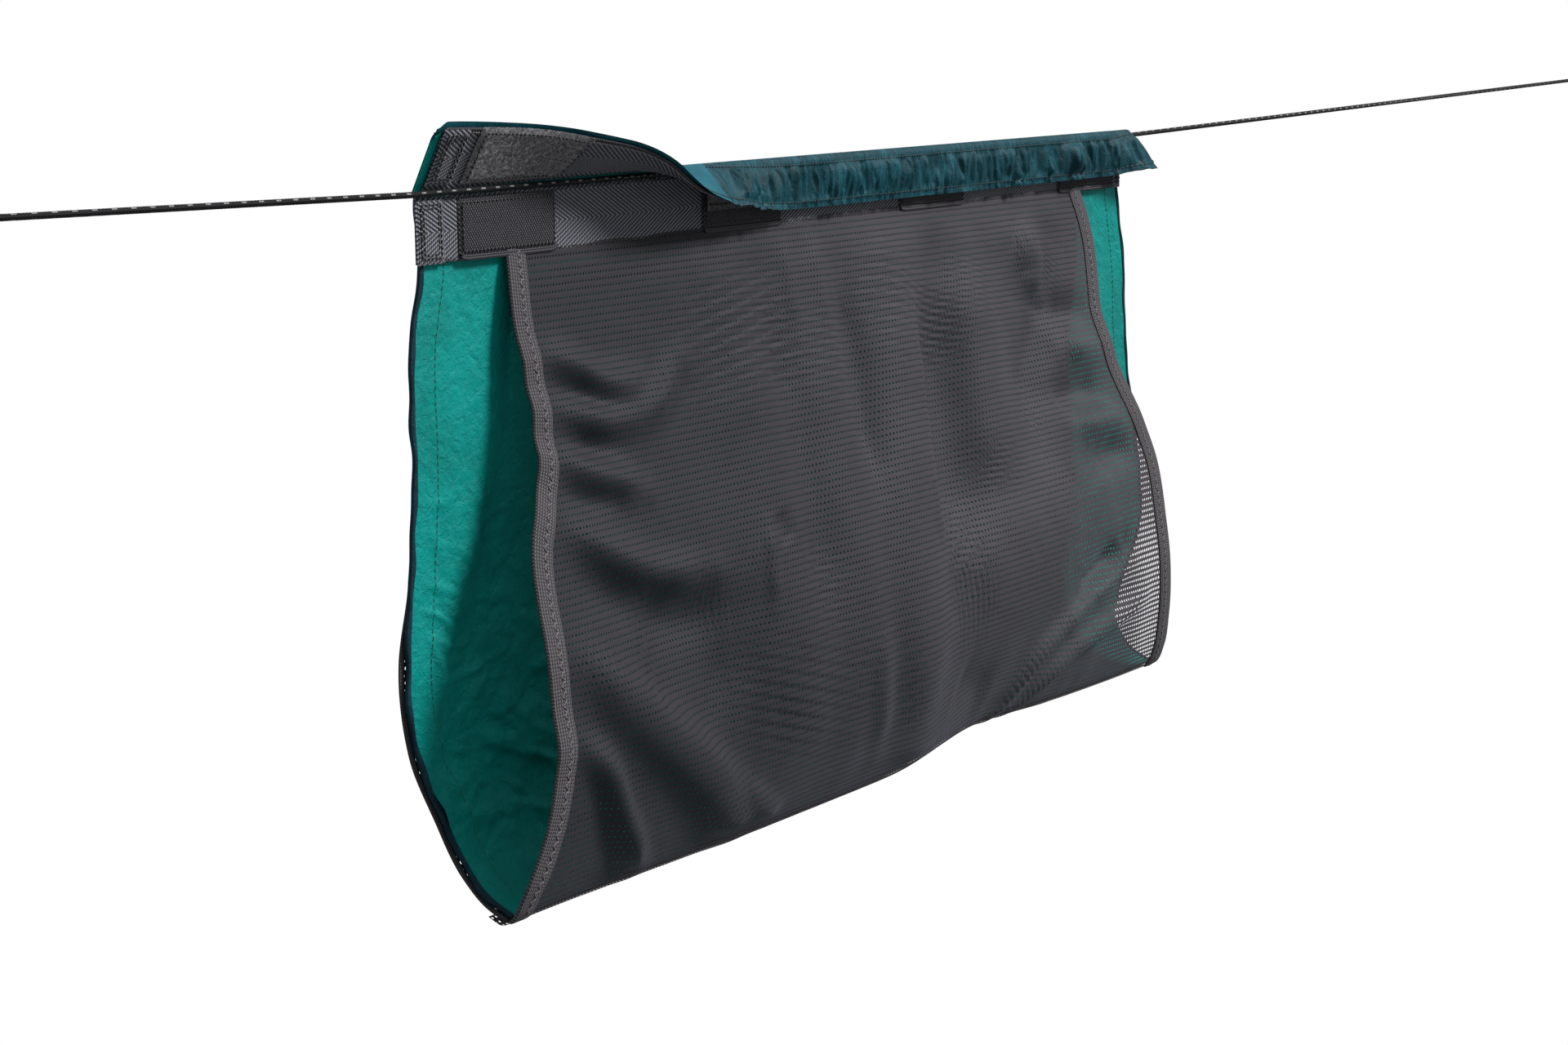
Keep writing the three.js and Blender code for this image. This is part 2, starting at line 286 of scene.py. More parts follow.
class Tree:
    """Short calls for building a material's nodes."""

    def __init__(self, name):
        self.material = bpy.data.materials.new(name)
        self.material.use_nodes = True
        self.nodes, self.links = self.material.node_tree.nodes, self.material.node_tree.links
        self.nodes.clear()
        self.uv = self.make("ShaderNodeTexCoord").outputs["UV"]
        self.point = self.make("ShaderNodeTexCoord").outputs["Object"]

    def make(self, kind, **settings):
        node = self.nodes.new(kind)
        for key, value in settings.items():
            setattr(node, key, value)
        return node

    def put(self, socket, value):
        if isinstance(value, bpy.types.NodeSocket):
            self.links.new(value, socket)
        else:
            socket.default_value = value

    def math(self, operation, *values):
        node = self.make("ShaderNodeMath", operation=operation)
        for socket, value in zip(node.inputs, values):
            self.put(socket, value)
        return node.outputs[0]

    def times(self, a, b):
        return self.math("MULTIPLY", a, b)

    def over(self, a, b):
        return self.math("DIVIDE", a, b)

    def add(self, a, b):
        return self.math("ADD", a, b)

    def minus(self, a, b):
        return self.math("SUBTRACT", a, b)

    def sine(self, a):
        return self.math("SINE", a)

    def split(self, vector):
        node = self.make("ShaderNodeSeparateXYZ")
        self.put(node.inputs[0], vector)
        return node.outputs[0], node.outputs[1], node.outputs[2]

    def noise(self, vector, scale, detail=3.0, roughness=0.5, distortion=0.0):
        node = self.make("ShaderNodeTexNoise")
        self.put(node.inputs["Vector"], vector)
        settings = {"Scale": scale, "Detail": detail, "Roughness": roughness, "Distortion": distortion}
        for key, value in settings.items():
            node.inputs[key].default_value = value
        return node.outputs[0]

    def ramp(self, value, low, high, out_low=0.0, out_high=1.0):
        node = self.make("ShaderNodeMapRange", interpolation_type="SMOOTHSTEP", clamp=True)
        for socket, v in zip(node.inputs, (value, low, high, out_low, out_high)):
            self.put(socket, v)
        return node.outputs[0]

    def mix(self, factor, a, b):
        node = self.make("ShaderNodeMix", data_type="RGBA")
        self.put(node.inputs[0], factor)
        for socket, colour in zip((node.inputs[6], node.inputs[7]), (a, b)):
            self.put(socket, colour)
        return node.outputs[2]

    def bump(self, height, distance, strength=1.0, normal=None):
        node = self.make("ShaderNodeBump")
        node.inputs["Strength"].default_value = strength
        node.inputs["Distance"].default_value = distance
        self.put(node.inputs["Height"], height)
        if normal is not None:
            self.put(node.inputs["Normal"], normal)
        return node.outputs[0]

    def finish(
        self, colour, roughness, normal=None, alpha=None, sheen=0.0, sheen_tint=(1, 1, 1, 1), specular=0.5
    ):
        shader = self.make("ShaderNodeBsdfPrincipled")
        self.put(shader.inputs["Base Color"], colour)
        self.put(shader.inputs["Roughness"], roughness)
        shader.inputs["Sheen Weight"].default_value = sheen
        shader.inputs["Sheen Roughness"].default_value = 0.45
        shader.inputs["Sheen Tint"].default_value = sheen_tint
        shader.inputs["Specular IOR Level"].default_value = specular
        if normal is not None:
            self.put(shader.inputs["Normal"], normal)
        if alpha is not None:
            self.put(shader.inputs["Alpha"], alpha)
        self.shader = shader
        output = self.make("ShaderNodeOutputMaterial")
        self.links.new(shader.outputs[0], output.inputs["Surface"])
        return self.material


def rgb(red, green, blue):
    """An sRGB colour from 0 to 255 as a linear one."""
    linear = [c / 255 / 12.92 if c <= 10 else ((c / 255 + 0.055) / 1.055) ** 2.4 for c in (red, green, blue)]
    return (*linear, 1.0)


def in_mm(tree):
    """The flat coordinates in millimetres."""
    x, y, _ = tree.split(tree.uv)
    return tree.math("MULTIPLY", x, 1000.0), tree.math("MULTIPLY", y, 1000.0)


def vector(tree, x, y, z=0.0):
    node = tree.make("ShaderNodeCombineXYZ")
    for socket, value in zip(node.inputs, (x, y, z)):
        tree.put(socket, value)
    return node.outputs[0]


def nylon(name, bright, deep, roughness=0.42, sheen=0.3, mottle=1.0, shadow=None, painted_gather_shade=0.0, relief=0.0011):
    """Thin coated nylon with a fine ripstop weave and small crumples.

    shadow is the colour it goes towards the middle of the sling and lower down.
    It can be given upright stripes of painted shade, standing in for the shade of finer gathering.
    """
    t = Tree(name)
    u, v = in_mm(t)
    flat = vector(t, u, v)
    soft = t.noise(flat, 0.035, 4.0, 0.6)
    small = t.noise(flat, 0.22, 5.0, 0.62, 0.6)
    grain = t.noise(flat, 1.6, 2.0)
    weave = t.times(t.sine(t.times(u, 11.0)), t.sine(t.times(v, 11.0)))
    height = t.add(t.times(small, 0.9), t.times(grain, 0.12))
    height = t.add(height, t.times(weave, 0.03))
    colour = t.mix(t.ramp(soft, 0.35, 0.65, 0.5 - mottle / 2, 0.5 + mottle / 2), deep, bright)
    # painted shade: darker upright stripes for the shade of finer gathering
    if painted_gather_shade:
        gather_shade_noise = t.noise(vector(t, u, t.times(v, 0.16)), 0.42, 4.0, 0.6)
        colour = t.mix(t.ramp(gather_shade_noise, 0.4, 0.62, painted_gather_shade, 0.0), colour, deep)
    if shadow is not None:
        inwards = t.over(t.minus(275.0, t.math("ABSOLUTE", u)), 34.0)
        down = t.over(t.minus(-110.0, v), 90.0)
        place = t.add(t.add(inwards, down), t.times(soft, 0.8))
        colour = t.mix(t.ramp(place, 0.0, 1.5, 0.0, 0.5), colour, shadow)
    speck = t.ramp(grain, 0.3, 0.75, 0.0, 0.3)
    colour = t.mix(speck, colour, bright)
    rough = t.ramp(small, 0.3, 0.7, roughness - 0.06, roughness + 0.1)
    bump = t.bump(height, relief, 0.75)
    return t.finish(colour, rough, bump, sheen=sheen, sheen_tint=bright, specular=0.12)


def knit_mesh(name, light, dark, open_share=1.0):
    """Warp-knit mesh: rows of open holes between bars of slanted stitches.

    It is darker to the left, which is painted shade, and its holes are wider at the lower right.
    """
    t = Tree(name)
    u, v = in_mm(t)
    row = t.over(v, 2.9)
    index = t.math("FLOOR", row)
    odd = t.math("MODULO", t.math("ABSOLUTE", index), 2.0)
    column = t.add(t.over(u, 2.15), t.times(odd, 0.5))
    fu = t.minus(t.math("FRACT", column), 0.5)
    fv = t.minus(t.math("FRACT", row), 0.5)
    du, dv = t.times(fu, 2.7), t.times(fv, 2.6)
    reach = t.math("SQRT", t.add(t.times(du, du), t.times(dv, dv)))
    stretch = t.times(t.ramp(u, 215.0, 245.0, 0.0, 0.42), t.ramp(v, -160.0, -200.0))
    size = t.add(stretch, open_share)
    hole = t.ramp(reach, t.times(size, 0.66), t.times(size, 0.5))
    bar = t.math("ABSOLUTE", fv)
    slant = t.sine(t.times(t.add(u, t.times(bar, 5.0)), 2 * math.pi / 1.07))
    thread = t.times(t.add(slant, 1.0), 0.5)
    across = t.ramp(bar, 0.05, 0.5)
    soft = t.noise(vector(t, u, v), 0.03, 3.0)
    shade = t.times(thread, t.add(t.times(across, 0.2), 0.8))
    colour = t.mix(shade, dark, light)
    colour = t.mix(t.ramp(soft, 0.3, 0.7, 0.0, 0.22), colour, dark)
    # painted shade: darker towards the left
    colour = t.mix(t.ramp(u, 80.0, -190.0, 0.0, 0.95), colour, dark)
    relief = t.add(t.times(thread, 0.5), t.times(across, 0.25))
    height = t.minus(relief, t.times(hole, 0.5))
    rough = t.ramp(thread, 0.0, 1.0, 0.75, 0.62)
    alpha = t.minus(1.0, hole)
    bump = t.bump(height, 0.0004, 0.25)
    tint = (0.5, 0.51, 0.68, 1)
    return t.finish(colour, rough, bump, alpha=alpha, sheen=0.1, sheen_tint=tint, specular=0.2)


def tape(name, light, dark, pitch=0.9):
    """Knit edge tape: columns of small stitches."""
    t = Tree(name)
    u, v = in_mm(t)
    column = t.sine(t.times(u, 2 * math.pi / pitch))
    shift = t.times(t.math("SIGN", column), 0.25)
    loops = t.sine(t.times(t.add(v, shift), 2 * math.pi / 1.4))
    height = t.add(t.times(column, 0.5), t.times(loops, 0.4))
    grain = t.noise(vector(t, u, v), 2.2, 3.0)
    shade = t.add(t.ramp(height, -0.7, 0.8, 0.1, 0.8), t.times(grain, 0.25))
    colour, bump = t.mix(shade, dark, light), t.bump(height, 0.0004, 0.9)
    return t.finish(colour, 0.78, bump, sheen=0.1, sheen_tint=light, specular=0.25)


def webbing(name, light, dark):
    """Herringbone webbing: slanted ribs that turn back every few millimetres."""
    t = Tree(name)
    u, v = in_mm(t)
    zig = t.math("PINGPONG", t.add(v, 15.2), 12.0)
    slant = t.add(t.times(u, 0.55), zig)
    rib = t.sine(t.times(slant, 2 * math.pi / 1.75))
    cross = t.sine(t.times(u, 2 * math.pi / 1.15))
    height = t.add(t.times(rib, 0.7), t.times(cross, 0.35))
    grain = t.noise(vector(t, u, v), 1.4, 4.0)
    shade = t.add(t.ramp(height, -0.2, 1.0, 0.0, 0.85), t.times(grain, 0.2))
    return t.finish(t.mix(shade, dark, light), 0.62, t.bump(height, 0.0004, 0.9), sheen=0.1, specular=0.3)


def fuzz(name, light, dark, scale, distance, dots=False):
    """Hook tape with rows of small hooks, or loop tape with a matted pile."""
    t = Tree(name)
    u, v = in_mm(t)
    flat = vector(t, u, v)
    pile = t.noise(flat, scale, 5.0, 0.7, 1.2)
    if dots:
        grid = t.times(t.sine(t.times(u, 4.2)), t.sine(t.times(v, 3.2)))
        pile = t.add(t.times(grid, 0.55), t.times(pile, 0.7))
    shade = t.ramp(pile, 0.34, 0.7)
    return t.finish(t.mix(shade, dark, light), 0.9, t.bump(pile, distance, 1.0), sheen=0.4, sheen_tint=light)


def braid(name):
    """Black braided cord with a light tracer: u is the angle round it in tenths of a turn, v the length."""
    t = Tree(name)
    u, v = in_mm(t)
    turn = t.times(u, 2 * math.pi / 10)
    one = t.sine(t.add(t.times(turn, 4.0), t.times(v, 2 * math.pi / 1.6)))
    two = t.sine(t.minus(t.times(turn, 4.0), t.times(v, 2 * math.pi / 1.6)))
    height = t.math("MAXIMUM", one, two)
    lane = t.over(t.add(u, t.times(v, 0.004)), 10 / 3)
    dash = t.math("FRACT", t.add(t.over(v, 9.0), t.times(t.math("FLOOR", lane), 0.5)))
    place = t.math("ABSOLUTE", t.minus(t.math("FRACT", lane), 0.5))
    length = t.times(t.ramp(dash, 0.0, 0.03), t.ramp(dash, 0.31, 0.27))
    tracer = t.times(length, t.ramp(place, 0.15, 0.1))
    fibre = t.noise(vector(t, u, v), 3.0, 3.0)
    black = t.mix(t.ramp(fibre, 0.35, 0.8), rgb(7, 7, 9), rgb(38, 38, 42))
    colour = t.mix(tracer, black, rgb(150, 150, 146))
    return t.finish(colour, 0.6, t.bump(height, 0.00025, 0.8), specular=0.2)


def thread(name, colour):
    t = Tree(name)
    u, v = in_mm(t)
    twist = t.sine(t.times(t.add(u, v), 9.0))
    dark = tuple(c * 0.5 for c in colour[:3]) + (1.0,)
    return t.finish(t.mix(t.ramp(twist, -1.0, 1.0), dark, colour), 0.6, t.bump(twist, 0.0001, 0.6), sheen=0.3)


GREEN = nylon(
    "lining_nylon", rgb(2, 150, 143), rgb(2, 126, 118), 0.42, 0.02, 0.7, shadow=rgb(2, 110, 104), relief=0.002
)
TEAL = nylon("outer_nylon", rgb(32, 106, 121), rgb(16, 74, 86), 0.5, 0.05, mottle=0.6)
# The closed flap's teal: a darker copy as painted shade, with upright stripes of painted shade for the shade
# of its gathering.
RUCHED_PAINTED_SHADE = nylon("ruched_nylon_painted_shade", rgb(28, 94, 107), rgb(5, 38, 46), 0.5, 0.05, mottle=0.5, painted_gather_shade=0.9)
# A dark copy of the teal nylon, as painted shade: the side hems are the teal fabric in shade. The inside of
# the fold along the cord uses it too.
NYLON_IN_PAINTED_SHADE = nylon("nylon_in_painted_shade", rgb(24, 58, 68), rgb(10, 32, 42), roughness=0.55)
MESH = knit_mesh("knit_mesh", rgb(80, 76, 81), rgb(40, 37, 41), 0.86)
REAR = knit_mesh("rear_knit_mesh", rgb(78, 77, 82), rgb(28, 28, 31))
TAPE = tape("edge_tape", rgb(110, 106, 110), rgb(7, 6, 8), 1.5)
WEB = webbing("herringbone_webbing", rgb(158, 159, 173), rgb(9, 10, 15))
HOOK = fuzz("hook_tape", rgb(90, 89, 96), rgb(8, 8, 10), 1.1, 0.0006, dots=True)
LOOP = fuzz("loop_tape", rgb(172, 169, 172), rgb(30, 29, 31), 0.75, 0.0016)
CORD = braid("braided_cord")
GREY_THREAD = thread("grey_thread", rgb(128, 124, 124))
BLACK_THREAD = thread("black_thread", rgb(17, 17, 20))
TEAL_THREAD = thread("teal_thread", rgb(14, 46, 54))
POCKET_EDGE = tape("pocket_edge", rgb(84, 84, 86), rgb(8, 8, 9), 1.3)
RIM = tape("selvedge", rgb(88, 85, 90), rgb(36, 34, 38), 1.1)
GREEN_THREAD = thread("green_thread", rgb(4, 140, 132))
PALE_THREAD = thread("pale_thread", rgb(176, 176, 174))


# ---------------------------------------------------------------- camera, light and floor


def add_camera():
    data = bpy.data.cameras.new("camera")
    data.lens, data.sensor_width, data.clip_end = 70, 36, 1000
    camera = bpy.data.objects.new("camera", data)
    right, up, back = (0.5443, -0.8387, -0.0163), (0.1426, 0.0734, 0.9871), (-0.8267, -0.5396, 0.1596)
    turn = Matrix((right, up, back)).transposed().to_4x4()
    camera.matrix_world = Matrix.Translation((-1.1953, -0.7513, 0.0596)) @ turn
    bpy.context.scene.collection.objects.link(camera)
    bpy.context.scene.camera = camera


def add_area(name, place, target, size, power, colour=(1, 1, 1)):
    data = bpy.data.lights.new(name, "AREA")
    data.shape, data.size, data.energy, data.color = "DISK", size, power, colour
    light = bpy.data.objects.new(name, data)
    light.location = place
    way = light.location - Matrix.Translation(target).translation
    light.rotation_euler = way.to_track_quat("Z", "Y").to_euler()
    bpy.context.scene.collection.objects.link(light)


def add_sun():
    data = bpy.data.lights.new("key", "SUN")
    data.energy, data.angle = 3.9, math.radians(15)
    light = bpy.data.objects.new("key", data)
    light.rotation_euler = Matrix.Translation(SUN_WAY).translation.to_track_quat("Z", "Y").to_euler()
    bpy.context.scene.collection.objects.link(light)


add_camera()
add_sun()
add_area("back_fill", (1.6, 1.9, 0.9), (0.1, 0, -0.12), 1.6, 26)
world = bpy.data.worlds.new("studio")
world.use_nodes = True
links, nodes = world.node_tree.links, world.node_tree.nodes
backdrop = nodes["Background"]
backdrop.inputs[0].default_value, backdrop.inputs[1].default_value = (1, 1, 1, 1), 1.0
ambient = nodes.new("ShaderNodeBackground")
ambient.inputs[0].default_value, ambient.inputs[1].default_value = (0.93, 0.96, 1.0, 1), 0.42
ray, blend = nodes.new("ShaderNodeLightPath"), nodes.new("ShaderNodeMixShader")
links.new(ray.outputs["Is Camera Ray"], blend.inputs[0])
links.new(ambient.outputs[0], blend.inputs[1])
links.new(backdrop.outputs[0], blend.inputs[2])
links.new(blend.outputs[0], nodes["World Output"].inputs["Surface"])
bpy.context.scene.world = world
bpy.context.scene.view_settings.view_transform = "Standard"


def add_floor():
    x, y = np.meshgrid([-FLOOR_HALF, FLOOR_HALF], [FLOOR_HALF, -FLOOR_HALF])
    p = np.stack([x, y, np.full_like(x, FLOOR_HEIGHT)], -1)
    t = Tree("floor_paper")
    grain = t.noise(t.point, 3.0)
    colour = t.mix(grain, (0.2, 0.2, 0.2, 1), (0.22, 0.22, 0.22, 1))
    material = t.finish(colour, 0.9, specular=0.0)
    glow, ray = t.make("ShaderNodeEmission"), t.make("ShaderNodeLightPath")
    blend = t.make("ShaderNodeMixShader")
    output = next(node for node in t.nodes if node.type == "OUTPUT_MATERIAL")
    t.links.new(ray.outputs["Is Camera Ray"], blend.inputs[0])
    t.links.new(t.shader.outputs[0], blend.inputs[1])
    t.links.new(glow.outputs[0], blend.inputs[2])
    t.links.new(blend.outputs[0], output.inputs["Surface"])
    floor = cloth("floor", p, p[..., :2], material)


add_floor()


# ---------------------------------------------------------------- the cord and its ends

CORD_LEFT, CORD_RIGHT, RISE = -528.0, 1046.0, math.tan(math.radians(1.05))


def cord_height(x):
    return np.maximum(0, np.abs(x) - 301) * RISE


def rope(name, line, radius, material, corners=14, closed_ends=True):
    """A braided tube along a line, with its strands in relief."""
    count = len(line)
    way = unit(np.gradient(line, axis=0))
    side = np.zeros_like(line)
    first = np.cross(way[0], (0, 0, 1) if abs(way[0][2]) < 0.9 else (0, 1, 0))
    side[0] = first / np.linalg.norm(first)
    for i in range(1, count):
        s = side[i - 1] - way[i] * np.dot(side[i - 1], way[i])
        side[i] = s / np.linalg.norm(s)
    up = np.cross(side, way)
    run = run_of(line)
    a = np.linspace(0, 2 * math.pi, corners + 1)
    grid_a, grid_s = np.meshgrid(a, run)
    strands = np.maximum(np.sin(4 * grid_a + grid_s * 3.9), np.sin(4 * grid_a - grid_s * 3.9))
    r = radius * (0.97 + 0.05 * strands)
    if closed_ends:
        r[0] = r[-1] = radius * 0.3
    round_it = np.cos(grid_a)[..., None] * side[:, None] + np.sin(grid_a)[..., None] * up[:, None]
    p = line[:, None] + r[..., None] * round_it
    uv = np.stack([grid_a / (2 * math.pi) * 10, grid_s], -1)
    return cloth(name, p, uv, material)


def add_cord():
    x = np.arange(CORD_LEFT, CORD_RIGHT + 0.1, 0.5)
    line = np.stack([x, np.zeros_like(x), cord_height(x)], 1)
    cord = rope("cord", line, CORD_RADIUS, CORD)
    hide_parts("ridgeline_cord")
    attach(cord, "ridgeline")
    for side, end, way in (("left", CORD_LEFT, -1), ("right", CORD_RIGHT, 1)):
        base = np.array([end, 0, float(cord_height(end))])
        axis = np.array([way, 0, RISE])
        axis /= np.linalg.norm(axis)
        over = np.array([0, 1.0, 0])
        third = np.cross(axis, over)
        a = np.linspace(0, 2 * math.pi, 260)
        ring = 1.15 + 0.65 * np.cos(3 * a)
        knot_line = (
            base + axis * 5.9
            + (np.cos(2 * a) * ring)[:, None] * over
            + (np.sin(2 * a) * ring)[:, None] * third
            + (3.7 * np.sin(3 * a + 0.4))[:, None] * axis
        )
        knot = rope(f"end_knot_{side}", knot_line, CORD_RADIUS, CORD, closed_ends=False)
        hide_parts(f"knot_{side}")
        half_eye = [[1.3, 0], [5.5, 10], [7, 18], [5.8, 27]]
        eye = np.array(half_eye + [[0, 34]] + [[-out, along] for out, along in reversed(half_eye)])
        eye = spline(eye, 220)
        eye_line = base + axis * 10.4 + eye[:, :1] * over + eye[:, 1:] * axis
        loop = rope(f"end_loop_{side}", eye_line, CORD_RADIUS, CORD)
        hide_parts(f"loop_{side}")
        for piece in (knot, loop):
            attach(piece, "ridgeline")


add_cord()

# ---------------------------------------------------------------- shared outlines

PANEL = spline([
    (3.6, -1.0), (3.6, -30), (1.6, -90), (0, -180), (-1.5, -242), (-8, -267), (-16, -278), (-25, -283.5),
])
FRONT = spline([
    (1.5, -25), (-0.4, -33), (-6, -60), (-19, -112), (-33, -160), (-41, -197), (-44, -225), (-41, -255),
    (-36, -273), (-29.5, -283.5), (-24, -286.2), (-17, -283.5),
])
PANEL_HALF = (
    graded([
        (0, 293), (28, 292), (60, 300), (113, 303), (150, 308),
        (191, 312.5), (218, 307), (243, 297), (267, 289), (288, 283),
    ]),
    graded([
        (0, 293), (30, 297), (60, 302), (113, 303), (150, 310),
        (187, 318), (211, 321), (230, 308), (246, 289), (260, 276), (288, 281),
    ]),
)
FRONT_HALF = (
    graded([
        (20, 240), (50, 245), (93, 247), (112, 251), (140, 266),
        (175, 274), (224, 277), (256, 284), (274, 290), (290, 290),
    ]),
    graded([
        (20, 246), (50, 253), (93, 247), (112, 249), (140, 258),
        (165, 266), (200, 265), (230, 266), (262, 272), (290, 280),
    ]),
)
LOWER_EDGE = graded([
    (-320, 0), (-269, 0), (-157, -2), (-79, -3), (16, -2), (82, 5), (159, 2), (268, 0), (320, 0),
])
HEM = 2.6
BIND = 12.0


def surface(line, halves, rows, cols, offset=0.0, inset=0.0, top=0.0, bottom=1.0):
    """A grid on a side profile, pushed forwards by offset, between its left and right outlines."""
    f = np.linspace(top, bottom, rows)
    yz = at(line, f)
    way = unit(np.gradient(yz, axis=0))
    y = yz[:, 0] + way[:, 1] * offset
    z = yz[:, 1] - way[:, 0] * offset
    left, right = (half(-yz[:, 1]) - inset for half in halves)
    s = np.linspace(0, 1, cols)
    x = -left[:, None] * (1 - s[None]) + right[:, None] * s[None]
    z = z[:, None] + LOWER_EDGE(x) * step(-yz[:, 1], 215, 284)[:, None]
    return np.stack([x, np.repeat(y[:, None], cols, 1), z], -1)


def on_sling(obj, node=None):
    """Makes a piece ride on the sling, and stand for a node of the part where one is named."""
    if node:
        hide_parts(node)
    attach(obj, "sling")


# ---------------------------------------------------------------- back panel


def panel_wave(x, z):
    """How far the panel stands forward of its smooth profile."""
    depth = -z
    inner = 1 - 0.75 * step(np.abs(x), 250, 300)
    wave = creases(x, z, 3, 110, 46, 8, 2.0, angle=0.35, spread=2.2) * step(depth, 60, 170)
    wave += creases(x, z, 5, 26, 60, 10, 2.2, angle=1.57, spread=0.5) * (1 - step(depth, 60, 200))
    wave *= inner
    return wave * step(depth, 26, 60) * (1 - step(depth, 262, 283))


def lining_crumple(x, z):
    """Sharp creases in the lining alone."""
    depth = -z
    wave = creases(x, z, 8, 1000, 15, 1.6, 1.3, spread=3.1) * (0.3 + 0.7 * step(depth, 110, 190))
    wave += creases(x, z, 9, 240, 30, 3.0, 2.4, angle=-0.3, spread=1.5) * step(depth, 100, 190)
    edge = 1 - step(np.abs(x), 292, 303)
    return np.abs(wave) * edge * step(depth, 26, 50) * (1 - step(depth, 262, 283))


def add_panel():
    rows, cols = 260, 460
    for name, offset, material, node, slot in (
        ("lining", 0.2, GREEN, "lining_panel", "green"),
        ("outer_back", -0.6, TEAL, "outer_panel", "teal"),
    ):
        base = surface(PANEL, PANEL_HALF, rows, cols, offset, HEM - 0.6)
        wave = panel_wave(base[..., 0], base[..., 2])
        if name == "lining":
            wave = wave + lining_crumple(base[..., 0], base[..., 2])
        p = base + normals(base) * wave[..., None]
        obj = cloth(name, p, flat_of(base), material)
        on_sling(obj, node)
    for side, way in (("left", -1), ("right", 1)):
        count = 420
        f = np.linspace(0, 1, count)
        yz = at(PANEL, f)
        x = way * (PANEL_HALF[way > 0](-yz[:, 1]) - HEM / 2)
        line = np.stack([x, yz[:, 0], yz[:, 1]], 1)
        run = f * length_of(PANEL)
        wave = panel_wave(x, yz[:, 1])
        tangent = unit(np.gradient(line, axis=0))
        front = unit(np.cross(np.array([1.0, 0, 0]), tangent))
        front = front * np.sign(-front[:, 1:2] + 1e-9)
        across = np.cross(tangent, front)
        line = line + front * (wave - 0.2)[:, None]
        line += across * (0.35 * np.sin(run / 6.1) + 0.25 * np.sin(run / 3.3))[:, None]
        half_width = HEM / 2 + 0.25 * np.sin(run / 4.3)
        # the hem's dark colour is painted shade on teal fabric
        hem = loft(f"edge_hem_{side}", line, across, front, half_width, 0.95, NYLON_IN_PAINTED_SHADE, 12)
        on_sling(hem, f"side_hem_{side}")
        inner = surface(PANEL, PANEL_HALF, 400, 3, 0.45, 15.0)
        seam = inner[:, 0 if way < 0 else -1]
        wave = panel_wave(seam[:, 0], seam[:, 2]) + lining_crumple(seam[:, 0], seam[:, 2])
        seam = seam + normals(inner)[:, 0] * wave[:, None]
        starts, ends = run_stitches(seam[36:-14], 3.0)
        row = stitches(f"hem_stitches_{side}", starts, ends, 0.18, GREEN_THREAD, 0.1)
        on_sling(row)


add_panel()

# ---------------------------------------------------------------- front mesh and its bindings


def front_wave(x, z):
    """How far the front mesh stands proud of its smooth profile. It stays level across each binding."""
    left, right, depth = FRONT_HALF[0](-z), FRONT_HALF[1](-z), -z
    x = np.clip(x, BIND - left, right - BIND)
    wave = np.zeros_like(x)
    for path, width, height in FOLDS:
        wave += 1.8 * ridge(x, z, path, width, height)
    wave += creases(x, z, 21, 60, 60, 11, 0.9, angle=1.3, spread=1.4)
    wave += creases(x, z, 22, 130, 24, 5, 0.35, angle=0.4, spread=3)
    wave *= (1 - 0.75 * step(x, right - 44, right - BIND)) * (0.45 + 0.55 * step(x, BIND - left, 40 - left))
    wave = np.where(wave > 0, 10 * np.tanh(wave / 10), wave)
    return wave * step(depth, 25, 48) * (1 - 0.8 * step(depth, 272, 285))


